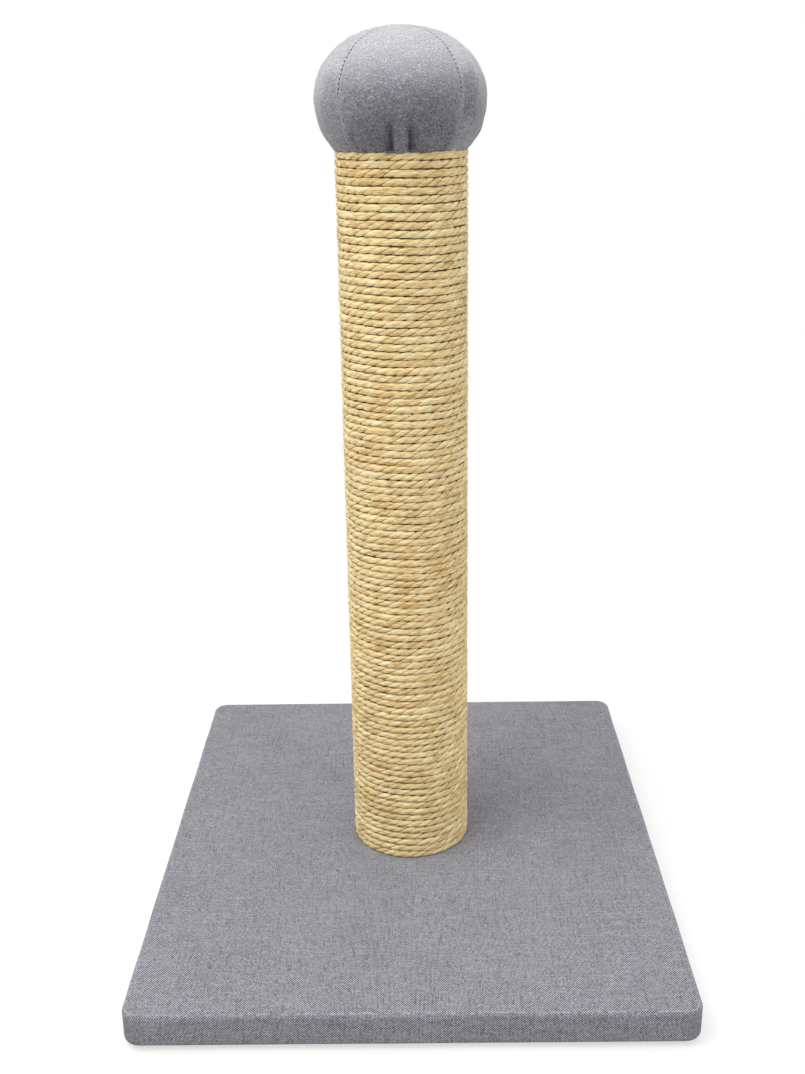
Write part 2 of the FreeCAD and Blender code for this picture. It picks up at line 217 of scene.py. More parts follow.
class Finish:
    # a material, or a tree given; add() makes any node from its type, its settings and its sockets' values
    def __init__(self, name, tree=None, **surface):
        if tree:
            self.tree = tree
            return
        self.material = bpy.data.materials.new(name)
        self.material.use_nodes = True
        self.tree = self.material.node_tree
        self.surface = self.tree.nodes["Principled BSDF"]
        self.set(**surface)

    def set(self, **surface):
        names = {"color": "Base Color", "sheen": "Sheen Weight", "sheenRoughness": "Sheen Roughness",
                 "specular": "Specular IOR Level"}
        for key, value in surface.items():
            self.connect(self.surface.inputs[names.get(key, key.title())], value)

    def connect(self, socket, value):
        if isinstance(value, Wire):
            self.tree.links.new(value.socket, socket)
        elif isinstance(value, tuple) and socket.type == "RGBA":
            socket.default_value = (*value[:3], 1)
        else:
            socket.default_value = value

    def add(self, kind, settings=None, sockets=None, out=0):
        node = self.tree.nodes.new("ShaderNode" + kind)
        for key, value in (settings or {}).items():
            if key == "stops":
                ramp = node.color_ramp
                while len(ramp.elements) < len(value):
                    ramp.elements.new(1)
                for element, (place, color) in zip(ramp.elements, value):
                    element.position, element.color = place, (*color, 1)
            else:
                setattr(node, key, value)
        for key, value in (sockets or {}).items():
            self.connect(node.inputs[key], value)
        return Wire(self, node.outputs[out])

    def mix(self, share, first, second):
        return self.add("Mix", {"data_type": "RGBA"}, {0: share, 6: first, 7: second}, out=2)

    def value(self, name):
        return self.add("Attribute", {"attribute_name": name}, out=2)

    def vector(self, name):
        return self.add("Attribute", {"attribute_name": name}, out=1)

    def cloth(self, name):
        return self.add("UVMap", {"uv_map": name})

    def place(self):
        return self.add("TexCoord", out=3)

    def scaled(self, vector, size, turn=(0, 0, 0)):
        return self.add("Mapping", {}, {"Vector": vector, "Scale": size, "Rotation": turn})

    def axes(self, vector):
        split = self.add("SeparateXYZ", {}, {0: vector}).socket.node
        return [Wire(self, socket) for socket in split.outputs]

    def joined(self, x, y, z=0.0):
        return self.add("CombineXYZ", {}, {0: x, 1: y, 2: z})

    def noise(self, vector, scale, detail=2.0, roughness=0.5, twist=0.0):
        # a tuple gives each direction a scale of its own
        if isinstance(scale, tuple):
            vector, scale = self.scaled(vector, scale), 1.0
        sockets = {"Vector": vector, "Scale": scale, "Detail": detail}
        sockets |= {"Roughness": roughness, "Distortion": twist}
        return self.add("TexNoise", {}, sockets)

    def cells(self, vector, scale, out=0):
        return self.add("TexVoronoi", {}, {"Vector": vector, "Scale": scale}, out)

    def chance(self, vector):
        return self.add("TexWhiteNoise", {"noise_dimensions": "2D"}, {"Vector": vector})

    def paint(self, color, height, depth, strength):
        # the colour, and a relief whose height is counted in depths
        sockets = {"Height": height, "Distance": depth, "Strength": strength}
        self.set(color=color, normal=self.add("Bump", {}, sockets))


def tone(red, green, blue):
    # a colour as it is seen, 0 to 255, made linear for the shader
    seen = [channel / 255 for channel in (red, green, blue)]
    return tuple(c / 12.92 if c <= 0.04045 else ((c + 0.055) / 1.055) ** 2.4 for c in seen)


# camera and studio

view = {"place": (7.2, -938.7, 621.2), "turnLeft": 0.656, "down": 19.395, "roll": -0.927, "lens": 42.53}


def placeCamera():
    # looks along the front-to-back axis, turned a little to the right, tipped down and rolled
    yaw, down, roll = [math.radians(view[key]) for key in ("turnLeft", "down", "roll")]
    forward = np.array([-math.sin(yaw) * math.cos(down), math.cos(yaw) * math.cos(down), -math.sin(down)])
    right = np.array([math.cos(yaw), math.sin(yaw), 0])
    above = np.cross(right, forward)
    rolledRight = math.cos(roll) * right + math.sin(roll) * above
    rolledUp = -math.sin(roll) * right + math.cos(roll) * above
    camera = bpy.data.objects.new("camera", bpy.data.cameras.new("camera"))
    bpy.context.collection.objects.link(camera)
    turned = np.eye(4)
    turned[:3, 0], turned[:3, 1], turned[:3, 2] = rolledRight, rolledUp, -forward
    turned[:3, 3] = np.array(view["place"]) * mm
    camera.matrix_world = Matrix(turned)
    camera.data.lens = view["lens"]
    camera.data.sensor_width = 36
    camera.data.clip_start = 0.01
    bpy.context.scene.camera = camera


studio = {
    "floorSeen": (0.95, 0.95, 0.95), "floorGiven": (0.62, 0.62, 0.62), "floorHalf": 8000, "floorLevel": -0.05,
    "whiteShare": 0.60, "whiteFrom": 0.16, "whiteTo": 0.75,  # from and to: square of the distance in metres
    "horizon": 0.26, "overhead": 0.80,  # the sky's strength low down, and what is added straight above
    "aim": (0, 0, 0.3),
    "lamps": [
        {"name": "key", "from": (-0.80, -0.50, 2.0), "size": 1.5, "power": 25.0, "color": (1.0, 0.985, 0.96)},
        {"name": "fill", "from": (1.4, -1.2, 1.2), "size": 1.4, "power": 7.0, "color": (0.97, 0.98, 1.0)},
    ],
}


def seenDirectly(finish):
    # 1 for what the camera, a shiny surface or glass looks at, 0 for the light that the surface gives
    path = finish.add("LightPath").socket.node
    camera, glossy, through = [Wire(finish, path.outputs[f"Is {kind} Ray"])
                               for kind in ("Camera", "Glossy", "Transmission")]
    return camera.larger(glossy).larger(through)


def makeStudio():
    # the floor is part white light for the eye, all of it further away, and clear when seen from below
    floor = Finish("studio_floor", roughness=0.9, specular=0.0)
    eye = seenDirectly(floor)
    floor.set(color=floor.mix(eye, studio["floorGiven"], studio["floorSeen"]))
    white = floor.add("Emission", {}, {"Color": (1.0, 1.0, 1.0), "Strength": 1.0})
    clear = floor.add("BsdfTransparent")
    x, y, _ = floor.axes(floor.place())
    away = (x * x + y * y).between(studio["whiteFrom"], studio["whiteTo"])
    share = eye * (away * (1 - studio["whiteShare"]) + studio["whiteShare"])
    plain = Wire(floor, floor.surface.outputs[0])
    mixed = floor.add("MixShader", {}, {0: share, 1: plain, 2: white})
    under = floor.add("NewGeometry", out=6) * eye
    mixed = floor.add("MixShader", {}, {0: under, 1: mixed, 2: clear})
    floor.connect(floor.tree.nodes["Material Output"].inputs[0], mixed)
    half, level = studio["floorHalf"], studio["floorLevel"]
    corners = [(-half, -half, level), (half, -half, level), (half, half, level), (-half, half, level)]
    ground = makeMesh("studio_floor", corners, np.array([[0, 1, 2, 3]]))
    ground.data.materials.append(floor.material)

    world = bpy.data.worlds.new("studio")
    bpy.context.scene.world = world
    world.use_nodes = True
    sky = Finish("sky", tree=world.node_tree)
    background = sky.tree.nodes["Background"]
    background.inputs[0].default_value = (1, 1, 1, 1)
    height = sky.axes(sky.add("TexCoord"))[2].larger(0)
    light = height * studio["overhead"] + studio["horizon"]
    eye = seenDirectly(sky)
    sky.connect(background.inputs[1], light * (1 - eye) + eye)

    for lamp in studio["lamps"]:
        data = bpy.data.lights.new(lamp["name"], "AREA")
        data.shape, data.size = "DISK", lamp["size"]
        data.energy, data.color = lamp["power"], lamp["color"]
        placed = bpy.data.objects.new(lamp["name"], data)
        placed.location = lamp["from"]
        aim = np.array(studio["aim"]) - np.array(lamp["from"])
        flat = math.hypot(aim[0], aim[1])
        placed.rotation_euler = (math.atan2(flat, -aim[2]), 0, math.atan2(-aim[0], aim[1]))
        bpy.context.collection.objects.link(placed)
    bpy.context.scene.view_settings.view_transform = "Standard"


placeCamera()
makeStudio()
print("camera and studio placed")


# sisal rope

rope = {
    "turns": 98, "endGap": 0.25, "diameter": 5.15,  # as wound on the tube
    "tubeRadius": 42.35, "halfHeight": 2.84, "halfDepth": 2.60, "boxy": 3.0,
    "stepShare": 0.24,  # share of a turn, at the back, in which it climbs to the next
    "levelMiddle": 0.55,  # how level the turns lie half way up; at both ends they are level
    "levelEnds": (2, 16),  # the turns, counted from either end, between the two
    "lay": 24.0,  # one strand once round the rope
    "valley": 0.28,  # depth between two strands, as a share of the radius
    "valleyShare": 0.85, "lobe": (-60, -49, -31, -10.5, 10.5, 31, 49),  # degrees from a strand's middle
    "step": 1.8, "pieces": ("rope_low", "rope_lower_middle", "rope_upper_middle", "rope_high"), "seed": 11,
}
stray = {  # how much the rope varies, and over what length
    "turn": (0.26, 55), "own": (0.16, 24), "thick": (0.06, 31), "out": (0.12, 40), "strand": (0.08, 17),
    "valley": (0.42, 13), "twist": (0.9, 45), "tint": (1, 60), "fineTint": (0.5, 9), "pinch": (0.5, 11),
    "together": 2.2,  # turns this much further apart still wander together
}
sisalLook = {
    "pale": tone(255, 244, 198), "straw": tone(238, 209, 148), "tan": tone(190, 152, 88),
    "paintedShade": tone(92, 64, 26), "fibreAcross": 0.50, "fibreAlong": 7.0,
    "creaseDepth": 0.72, "underDepth": 0.16, "pinchDepth": 0.8,  # how much painted shade each of them gives
}


def sisalFinish():
    # long streaks along the rope, tinted by strand, with painted shade between the strands, where two turns
    # meet, underneath and towards the tube
    sisal = Finish("sisal", roughness=0.82, specular=0.25, sheen=0.15, sheenRoughness=0.6)
    fibre = sisal.vector("fibre")
    across, along = 1 / sisalLook["fibreAcross"], 1 / sisalLook["fibreAlong"]
    fine = sisal.noise(fibre, (across, across, along), 3.0, 0.6)
    coarse = sisal.noise(fibre, (across / 3, across / 3, along / 1.4))
    patch = sisal.noise(fibre, (0.2, 0.2, 0.035))
    tint, depth = sisal.value("tint"), sisal.value("depth")
    shade = fine * 1.0 + coarse * 0.5 + patch * 0.3 + tint * 0.07 - 0.40
    stops = [(0.26, sisalLook["tan"]), (0.48, sisalLook["straw"]), (0.72, sisalLook["pale"])]
    color = sisal.add("ValToRGB", {"stops": stops}, {0: shade})
    # painted shade in the crevices, broken up by the fibre noise
    creviceShade = (depth + (0.5 - fine) * 0.7).between(0.30, 0.88)
    color = sisal.mix(creviceShade * 0.95, color, sisalLook["paintedShade"])
    height = fine * 0.7 + coarse * 0.5
    sisal.paint(color, height, 0.00035, 0.8)
    return sisal


def makeRope():
    # a three-lobed section carried round the tube and turned as it goes: each lobe is a strand
    chance, turns = np.random.default_rng(rope["seed"]), rope["turns"]
    rise = (postTop - baseTop - rope["diameter"] - 2 * rope["endGap"]) / (turns - 1)
    middle = rope["tubeRadius"] + rope["diameter"] / 2
    turnLength = math.hypot(2 * math.pi * middle, rise)
    extra = rope["diameter"] / turnLength
    count = int((turns + 2 * extra) * turnLength / rope["step"])
    turn = np.linspace(-extra, turns + extra, count)
    along = turn * turnLength
    angle = math.pi / 2 - 2 * math.pi * turn

    def strays(name):
        # a wandering along the rope, of the size and length set for it
        size, length = stray[name]
        return size * wander(chance, along, length)

    def perStrand(draw):
        # one drawing for each strand, given to all of its points
        return np.stack([draw() for _ in range(3)], -1)[:, strand]

    # level turns that climb to the next one at the back, eased into an even helix half way up
    whole = np.clip(np.floor(turn), 0, turns - 1)
    stepped = whole + ease(turn - whole, 1 - rope["stepShare"], 1)
    stepped = np.clip(stepped, 0, turns - 1)
    even = turn * (turns - 1) / turns
    toEnd = np.minimum(turn, turns - turn)
    share = rope["levelMiddle"] + (1 - rope["levelMiddle"]) * (1 - ease(toEnd, *rope["levelEnds"]))
    climbed = rise * (share * stepped + (1 - share) * even)
    level = baseTop + rope["endGap"] + rope["diameter"] / 2 + climbed

    # neighbouring turns wander together, and a little on their own
    tube = around(angle, middle, level / stray["together"])
    held = ease(turn, 0, 2) * ease(turns - turn, 0, 2)
    size, length = stray["turn"]
    level = level + (size * ripple(chance, tube, length) + strays("own")) * held
    thick = 1 + strays("thick")
    centre = middle + strays("out")

    # each lobe falls away from its middle as a half circle does
    lobe = np.array(rope["lobe"])
    fall = 1 - np.sqrt(1 - np.clip(np.abs(lobe) / 60, 0, 1) ** 2)
    corner = np.radians((120 * np.arange(3)[:, None] + lobe).ravel())
    strand = np.repeat(np.arange(3), len(lobe))
    swell = perStrand(lambda: 1 + strays("strand"))
    shut = perStrand(lambda: rope["valleyShare"] + strays("valley"))
    shape = (1 - rope["valley"] * shut * np.tile(fall, 3)) * swell * thick[:, None]
    twist = -2 * math.pi * along / rope["lay"] + strays("twist")
    phi = corner[None, :] + twist[:, None]
    boxy = rope["boxy"]
    shape = shape / (np.abs(np.cos(phi)) ** boxy + np.abs(np.sin(phi)) ** boxy) ** (1 / boxy)

    radius = centre[:, None] + rope["halfDepth"] * shape * np.cos(phi)
    radius = np.clip(radius, rope["tubeRadius"] + 0.05, None)
    height = level[:, None] + rope["halfHeight"] * shape * np.sin(phi)
    points = around(angle[:, None], radius, height)

    # across the rope as if untwisted, so that the fibres run along it
    fibre = around(phi, rope["halfDepth"], along[:, None])
    tint = perStrand(lambda: strays("tint") + strays("fineTint"))

    # how much painted shade each point gets: between strands, where two turns meet, underneath, and at the
    # tube
    crease = sisalLook["creaseDepth"] * (shut * np.tile(fall, 3)[None, :] ** 1.2)
    pinch = ease(np.abs(np.sin(phi)), 0.80, 1.0) * (sisalLook["pinchDepth"] + strays("pinch")[:, None])
    under = sisalLook["underDepth"] * ease(-np.sin(phi), 0.1, 0.9)
    depth = np.clip(crease + under + pinch + ease(-np.cos(phi), -0.1, 0.5), 0, 1)

    finish = sisalFinish()
    cuts = np.linspace(0, count - 1, len(rope["pieces"]) + 1).astype(int)
    columns = len(corner)
    for name, first, last in zip(rope["pieces"], cuts[:-1], cuts[1:]):
        own = slice(first, last + 1)
        piece = makeMesh(name, points[own], *tubeFaces(last - first + 1, columns))
        putVector(piece, "fibre", fibre[own])
        putValue(piece, "tint", tint[own])
        putValue(piece, "depth", depth[own])
        dress(piece, finish, ["sisal_rope"])
    print("rope wound:", count, "rings,", round(along[-1] / 1000, 2), "m")


fuzz = {
    "count": 3000, "length": (5, 17), "lift": (0.15, 1.0), "radius": (0.05, 0.09), "rings": 5,
    "loose": 0.05, "looseLift": 1.6,  # share of those that stand off, and how much further
    "crossing": 0.12, "crossingRadius": 0.16,  # share of those that lie across the turns
    "heading": (0.9, 0.4), "bend": 0.5,  # spread in radians: of those that cross, of the rest, and on the way
    "margin": 4, "taper": 0.75, "seed": 12,
}


def makeFuzz():
    # thin three-sided fibres that run mostly along the turns, held at one end and lifted at the other
    chance = np.random.default_rng(fuzz["seed"])
    count, rings = fuzz["count"], fuzz["rings"]
    share = np.linspace(0, 1, rings)[None, :]
    length = chance.uniform(*fuzz["length"], (count, 1))
    crossing = chance.random((count, 1)) < fuzz["crossing"]
    heading = np.where(chance.random((count, 1)) < 0.5, 0, math.pi)
    heading = heading + chance.normal(0, 1, (count, 1)) * np.where(crossing, *fuzz["heading"])
    bend = heading + chance.normal(0, fuzz["bend"], (count, 1)) * share
    lift = chance.uniform(*fuzz["lift"], (count, 1))
    lift = np.where(chance.random((count, 1)) < fuzz["loose"], lift + fuzz["looseLift"], lift)
    start = chance.uniform(0, 2 * math.pi, (count, 1))
    low, high = baseTop + fuzz["margin"], postTop - fuzz["margin"]
    level = chance.uniform(low, high, (count, 1)) + length * share * np.sin(bend)
    outside = rope["tubeRadius"] + 2 * rope["halfDepth"] - 0.25
    turned = start + length * share * np.cos(bend) / outside
    arched = lift * np.where(chance.random((count, 1)) < 0.55, np.sin(math.pi * share), share**1.5)
    radius = outside + arched - 0.3 * (1 - share)
    thick = chance.uniform(*fuzz["radius"], (count, 1))
    thick = np.where(crossing, fuzz["crossingRadius"], thick) * (1 - fuzz["taper"] * share**2)
    side = np.radians([90, 210, 330])
    out = radius[..., None] + thick[..., None] * np.cos(side)
    level = np.clip(level, low - 3, high + 3)[..., None] + thick[..., None] * np.sin(side)
    points = around(turned[..., None], out, level)
    first = (np.arange(count) * rings * 3)[:, None, None]
    sides, ends = [(faces[None] + first).reshape(-1, faces.shape[1]) for faces in tubeFaces(rings, 3)]
    piece = makeMesh("rope_fibres", points, sides, ends)
    putValue(piece, "tint", np.broadcast_to(chance.random((count, 1)), (count, rings * 3)))
    pale = Finish("loose_fibre", roughness=0.6, specular=0.3)
    pale.set(color=pale.mix(pale.value("tint"), tone(200, 170, 118), tone(250, 236, 202)))
    dress(piece, pale)
    print("loose fibres:", count)


makeRope()
makeFuzz()


# base: linen cover, foam, lining and feet

cover = {
    "halfWidth": 200.0, "halfDepth": 234.0, "corner": 12.0, "hemWidth": 32.0, "hemLevel": 2.5,
    "topRound": 3.4, "bottomRound": 5.0, "thickness": 0.9, "spacing": 4.0,
    "crown": 0.7, "wave": 0.16, "sideWave": 0.12, "boltHole": 4.4, "postRadius": 47.5,
    "highlightAcross": (0.6, 1.3, 1.5, 2.2),  # the painted highlight along the top edge starts, is full, and ends, from the fold outwards
    "seed": 21,
}
linenLook = {
    "thread": 0.9, "warp": tone(204, 204, 214), "weft": tone(20, 20, 26), "gap": tone(30, 30, 36),
    "slub": 26.0, "relief": 0.00036,
}


def outline(halfWidth, halfDepth, corner, spacing):
    # a rounded rectangle counted from above against the clock: the place along each straight, and the normal
    places, normals = [], []
    for side in range(4):
        direction = math.radians(-90 + 90 * side)
        straight = (halfWidth, halfDepth)[side % 2] - corner
        count = int(2 * straight / spacing)
        step = np.linspace(-1, 1, count, endpoint=False)
        ahead = np.array([-math.sin(direction), math.cos(direction)])
        outward = np.array([math.cos(direction), math.sin(direction)])
        places.append(step[:, None] * ahead + outward)
        normals.append(np.repeat(outward[None], count, 0))
        bend = direction + np.linspace(0, math.pi / 2, 9, endpoint=False)
        places.append(np.repeat((ahead + outward)[None], 9, 0))
        normals.append(np.stack([np.cos(bend), np.sin(bend)], -1))
    return np.concatenate(places), np.concatenate(normals)


def ringAt(places, normals, halfWidth, halfDepth, corner, inset):
    # the outline drawn in by inset; its corners keep a radius of at least a third
    radius = max(corner - inset, corner / 3)
    straight = np.array([halfWidth - inset - radius, halfDepth - inset - radius])
    return places * straight + normals * radius


def holeRing(edge, radius):
    # one point of a circle for each point of an outline, in the same direction
    return radius * edge / np.linalg.norm(edge, axis=-1, keepdims=True)


def quarterRound(radius, count):
    # a quarter circle from a level run into a wall: how far from the wall, and how far from the run
    bend = np.linspace(0, math.pi / 2, count)
    return [(radius * (1 - math.sin(b)), radius * (1 - math.cos(b))) for b in bend]


def fromEdge(flat, size):
    # distance in from the nearer of the straight sides
    return np.minimum(size[0] - np.abs(flat[..., 0]), size[1] - np.abs(flat[..., 1]))


def linenFinish():
    # plain weave: warp and weft threads as round ridges that pass over each other in turn, with painted shade
    # in the gaps between them and a painted highlight along the top edge's fold
    linen = Finish("linen", roughness=0.88, specular=0.2, sheen=0.12, sheenRoughness=0.6)
    flat = linen.cloth("cloth")
    x, y, _ = linen.axes(flat)
    thread = linenLook["thread"] * mm
    bent = linen.noise(flat, (90, 90, 1)) - 0.5
    u, v = x / thread + bent * 0.6, y / thread + bent * 0.6
    warp, weft = u.floor(), v.floor()
    overWarp = ((warp + weft) * 0.5).part() > 0.25
    turn = overWarp * 2 - 1
    acrossWarp, acrossWeft = ((u.part() - 0.5) * math.pi).cosine(), ((v.part() - 0.5) * math.pi).cosine()
    warpHeight = acrossWarp * (turn * acrossWeft * 0.5 + 0.5)
    weftHeight = acrossWeft * (0.5 - turn * acrossWarp * 0.5)
    height = warpHeight.larger(weftHeight)
    top = warpHeight > weftHeight

    slub = linenLook["slub"]
    warpTint = linen.noise(linen.joined(warp * 3.7, v / slub), 1.0, 3.0, 0.7)
    weftTint = linen.noise(linen.joined(u / slub, weft * 3.7 + 500), 1.0, 3.0, 0.7)
    speck = linen.chance(linen.joined(warp, weft))
    threadTint = warpTint * top + weftTint * (1 - top)
    cloud = linen.noise(flat, (14, 14, 1))
    shade = (threadTint - 0.5) * 1.5 + (speck - 0.5) * 0.5 + (cloud - 0.5) * 0.2
    color = linen.mix((top * 0.9 + 0.05 + shade).capped(), linenLook["weft"], linenLook["warp"])
    # painted shade in the gaps between the threads
    gapShade = (1 - height.between(0.05, 0.7)) * 0.6
    color = linen.mix(gapShade, color, linenLook["gap"])
    # painted highlight: a pale dashed line along the fold of the top edge
    crease = linen.value("crease")
    dashes = linen.noise(linen.joined(u / 5, v / 5), 1.0, 3.0).between(0.42, 0.62)
    color = linen.mix(crease * dashes * 0.45, color, tone(206, 205, 212))
    linen.paint(color, height * 0.8 + threadTint * 0.3, linenLook["relief"], 0.9)
    return linen


def makeCover():
    # rings from the hem's edge under the board, round the side and in to the hole under the post
    chance = np.random.default_rng(cover["seed"])
    size = (cover["halfWidth"], cover["halfDepth"], cover["corner"])
    places, normals = outline(*size, cover["spacing"])
    low, high = cover["hemLevel"], baseTop
    bottomRound, topRound = cover["bottomRound"], cover["topRound"]
    steps = [(inset, low) for inset in np.linspace(cover["hemWidth"], bottomRound, 8)[:-1]]
    steps += [(inward, low + rise) for inward, rise in quarterRound(bottomRound, 8)]
    steps += [(0, z) for z in np.linspace(low + bottomRound, high - topRound, 9)[1:-1]]
    steps += [(inward, high - drop) for drop, inward in quarterRound(topRound, 8)]
    steps = np.array(steps)
    rings = np.stack([ringAt(places, normals, *size, inset) for inset in steps[:, 0]])
    levels = np.repeat(steps[:, 1][:, None], len(places), 1)

    # towards the middle each ring is the same outline made smaller, and the last one the bolt's hole
    edge = rings[-1]
    shares = 1 - np.linspace(0, 1, 46)[1:-1] ** 1.05
    inner = edge[None] * shares[:, None, None]
    flat = np.concatenate([rings, inner, holeRing(edge, cover["boltHole"])[None]])
    levels = np.concatenate([levels, np.full((len(shares) + 1, len(places)), high)])

    # cloth measured from the fold: out along the normal by the distance gone round the side
    folded = len(steps) - 1
    lengths = np.linalg.norm(np.diff(steps, axis=0), axis=1)
    beyond = np.append(np.cumsum(lengths[::-1])[::-1], 0)
    cloth = flat.copy()
    cloth[:folded] = edge[None] + normals[None] * beyond[:folded, None, None]

    # a soft crown on top, flat under the post, and faint waves all over
    spot = raised(flat, levels)
    toPost = np.linalg.norm(flat, axis=-1) - cover["postRadius"]
    soft = ease(fromEdge(flat, size), 2, 34) * ease(toPost, -1, 22)
    crown = cover["crown"] * soft * (1 + 0.35 * ripple(chance, flat, 90))
    crown = crown + cover["wave"] * soft * ripple(chance, flat, 42)
    onTop = np.arange(len(flat))[:, None] >= folded
    levels = levels + np.where(onTop, crown, 0)
    side = np.zeros(len(flat))
    side[:folded + 1] = np.interp(steps[:, 1], [low, low + 4, high - 2, high], [0, 1, 1, 0.25])
    push = cover["sideWave"] * side[:, None] * ripple(chance, spot, 60)
    flat = flat + normals[None] * push[..., None]
    # painted highlight along the fold of the top edge, on the rings round it
    crease = np.zeros(len(flat))
    crease[:folded + 1] = np.interp(beyond, cover["highlightAcross"], [0, 1, 1, 0])

    points = raised(flat, levels)
    piece = makeMesh("linen_cover", points, gridFaces(*points.shape[:2], wrapColumns=True))
    putUv(piece, "cloth", cloth)
    putValue(piece, "crease", np.repeat(crease[:, None], len(places), 1))
    thicken(piece, cover["thickness"])
    dress(piece, linenFinish(), ["base_cover"])
    print("linen cover:", len(points), "rings")


makeCover()

foam = {
    "inset": 0.9, "low": 25.4, "high": 28.1, "corner": 12.0, "round": 2.2, "crown": 0.55, "boltHole": 4.6,
    "seed": 22,
}


def foamFinish():
    # pale between the pores, with painted shade in the pores and soft yellowed patches
    foamed = Finish("foam", roughness=0.95, specular=0.1)
    cell = foamed.cells(foamed.place(), 900)
    soft = foamed.noise(foamed.place(), 40, 3.0)
    # painted shade: darker in the pores
    color = foamed.mix(cell.between(0.1, 0.6), tone(196, 190, 158), tone(240, 236, 214))
    color = foamed.mix(soft * 0.35, color, tone(225, 205, 150))
    foamed.paint(color, cell, 0.0006, 0.7)
    return foamed


def makeFoam():
    # a closed band of rings: out along the underside, round the edge and back in over the top
    chance = np.random.default_rng(foam["seed"])
    inset, low, high = foam["inset"], foam["low"], foam["high"]
    size = (cover["halfWidth"] - inset, cover["halfDepth"] - inset, foam["corner"] - inset)
    places, normals = outline(*size, 8.0)
    steps = [(0, low)] + [(inward, high - drop) for drop, inward in quarterRound(foam["round"], 6)]
    rings = np.stack([ringAt(places, normals, *size, step) for step, _ in steps])
    shares = np.linspace(0, 1, 24)[1:-1]
    hole = holeRing(rings[0], foam["boltHole"])
    under = rings[0][None] * shares[:, None, None]
    over = rings[-1][None] * shares[::-1, None, None]
    flat = np.concatenate([hole[None], under, rings, over, hole[None]])
    lows, highs = np.full(len(under) + 1, low), np.full(len(over) + 1, high)
    level = np.concatenate([lows, [z for _, z in steps], highs])[:, None]
    soft = ease(fromEdge(flat, size), 3, 40) * ease(np.linalg.norm(flat, axis=-1), 48, 70)
    onTop = np.arange(len(flat))[:, None] > len(under) + len(steps)
    level = level + np.where(onTop, foam["crown"] * soft * (1 + 0.2 * ripple(chance, flat, 90)), 0)
    points = raised(flat, level)
    piece = makeMesh("foam_pad", points, gridFaces(*points.shape[:2], wrapRows=True, wrapColumns=True))
    dress(piece, foamFinish(), ["base_foam"])


lining = {
    "halfWidth": 192.0, "halfDepth": 226.0, "corner": 12.0, "low": 2.0, "thickness": 0.5, "hole": 17.0,
    "pucker": 0.16, "puckerMost": 0.45, "seed": 23,
}


def liningFinish():
    # pressed fibres in all directions, with the small round dents of the pressing rollers
    cloth = Finish("lining", roughness=0.9, specular=0.15)
    flat = cloth.cloth("cloth")
    first = cloth.noise(cloth.scaled(flat, (3000, 300, 1), (0, 0, 0.5)), 1.0, 3.0)
    second = cloth.noise(cloth.scaled(flat, (300, 3000, 1), (0, 0, 0.3)), 1.0, 3.0)
    dents = cloth.cells(flat, 480).between(0.15, 0.4)
    fibre = first.larger(second)
    color = cloth.mix(fibre.between(0.4, 0.8), tone(36, 36, 39), tone(84, 84, 89))
    cloth.paint(color, fibre * 0.6 + dents * 0.6, 0.0002, 0.7)
    return cloth


def makeLining():
    # a flat rounded rectangle with a round hole, drawn in slightly between its staples
    chance = np.random.default_rng(lining["seed"])
    size = (lining["halfWidth"], lining["halfDepth"], lining["corner"])
    places, normals = outline(*size, 5.0)
    edge = ringAt(places, normals, *size, 0)
    hole = holeRing(edge, lining["hole"])
    shares = np.linspace(0, 1, 34)[:, None, None]
    flat = hole[None] * (1 - shares) + edge[None] * shares
    wave = np.abs(ripple(chance, flat, 55)) * lining["pucker"] * ease(np.linalg.norm(flat, axis=-1), 20, 60)
    points = raised(flat, lining["low"] + np.clip(wave, 0, lining["puckerMost"]))
    piece = makeMesh("lining_cloth", points, gridFaces(*points.shape[:2], wrapColumns=True))
    putUv(piece, "cloth", flat)
    thicken(piece, lining["thickness"])
    dress(piece, liningFinish(), ["base_lining"])


foot = {"radius": 15.0, "height": 2.0, "round": 0.6, "rough": 0.006, "around": 72, "seed": 24}


def makeFeet():
    # a disc turned from its outline, its edge a little uneven as cut felt is
    felt = Finish("felt", roughness=0.97, specular=0.08, sheen=0.25, sheenRoughness=0.6)
    fibre = felt.noise(felt.place(), 1800, 4.0, 0.7)
    mottle = felt.noise(felt.place(), 260, 3.0)
    color = felt.mix((fibre * 0.6 + mottle * 0.5).between(0.35, 0.75), tone(66, 66, 70), tone(118, 118, 123))
    felt.paint(color, fibre, 0.0004, 0.8)
    radius, height = foot["radius"], foot["height"]
    low = [(radius - inward, rise) for inward, rise in quarterRound(foot["round"], 5)]
    high = [(r, height - z) for r, z in low[::-1]]
    inner = [(r, 0) for r in (0.2, 4, 8, 12)]
    profile = np.array(inner + low + high + [(r, height) for r, _ in inner[::-1]])
    turn = np.linspace(0, 2 * math.pi, foot["around"], endpoint=False)
    for row in ("front", "rear"):
        for side in ("left", "right"):
            chance = np.random.default_rng(foot["seed"] + len(row) + 3 * len(side))
            low, high = [np.array(corner) * 1000 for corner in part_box(f"foot_{row}_{side}")]
            middle = (low + high) / 2
            ring = np.stack([np.cos(turn), np.sin(turn)], -1)
            rough = 1 - foot["rough"] * np.abs(ripple(chance, ring, 0.25))
            flat = ring[None] * (profile[:, :1, None] * rough[None, :, None]) + middle[:2]
            points = raised(flat, profile[:, 1])
            piece = makeMesh(f"felt_pad_{row}_{side}", points, *tubeFaces(*points.shape[:2]))
            dress(piece, felt, [f"foot_{row}_{side}"])
    print("foam, lining and felt pads made")


makeFoam()
makeLining()
makeFeet()


# stuffed plush cap

